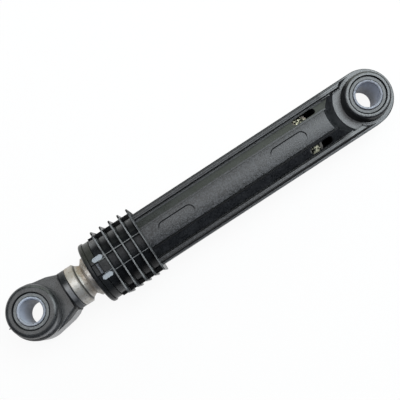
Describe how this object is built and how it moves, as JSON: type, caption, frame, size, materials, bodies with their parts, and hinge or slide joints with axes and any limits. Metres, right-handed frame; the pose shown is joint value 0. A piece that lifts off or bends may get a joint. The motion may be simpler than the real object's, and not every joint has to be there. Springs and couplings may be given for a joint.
{
  "type": "shock absorber",
  "caption": "Friction damper for a washing-machine tub, with a finned black housing, a steel tube and a bushed eye at each end.",
  "frame": {"origin": "centre of the housing eye's bore, half way along its sleeve", "axes": "+X along the damper towards the rod eye, +Z along the housing eye's bore, away from the table it lies on"},
  "size_m": [0.2638, 0.0406, 0.0388],
  "materials": {
    "housing_plastic": "black glass-filled, slightly grained",
    "eye_plastic": "black, satin",
    "bush_rubber": "matt",
    "sleeve_plastic": "bluish grey, satin",
    "carrier_plastic": "light bluish grey, satin",
    "lining": "dark greased foam",
    "guide_plastic": "yellowish, greased",
    "tube_steel": "zinc plated, slightly grubby"
  },
  "bodies": {
    "housing_body": {"housing": "housing_plastic", "end_cap": "housing_plastic", "lining_carrier": "carrier_plastic", "rear_lining": "lining", "front_lining": "lining", "wiper_ring": "guide_plastic", "housing_bush": "bush_rubber", "housing_sleeve": "sleeve_plastic"},
    "guide_body": {"guide_ring": "guide_plastic"},
    "rod_body": {"rod_tube": "tube_steel", "rod_eye": "eye_plastic", "rod_bush": "bush_rubber", "rod_sleeve": "sleeve_plastic"}
  },
  "joints": [
    {"name": "rod_slide", "type": "slide", "parent": "housing_body", "child": "guide_body", "axis": [1, 0, 0], "range_m": [-0.007, 0.109]},
    {"name": "rod_turn", "type": "hinge", "parent": "guide_body", "child": "rod_body", "pos_m": [0.228, 0, 0], "axis": [1, 0, 0], "continuous": true}
  ]
}
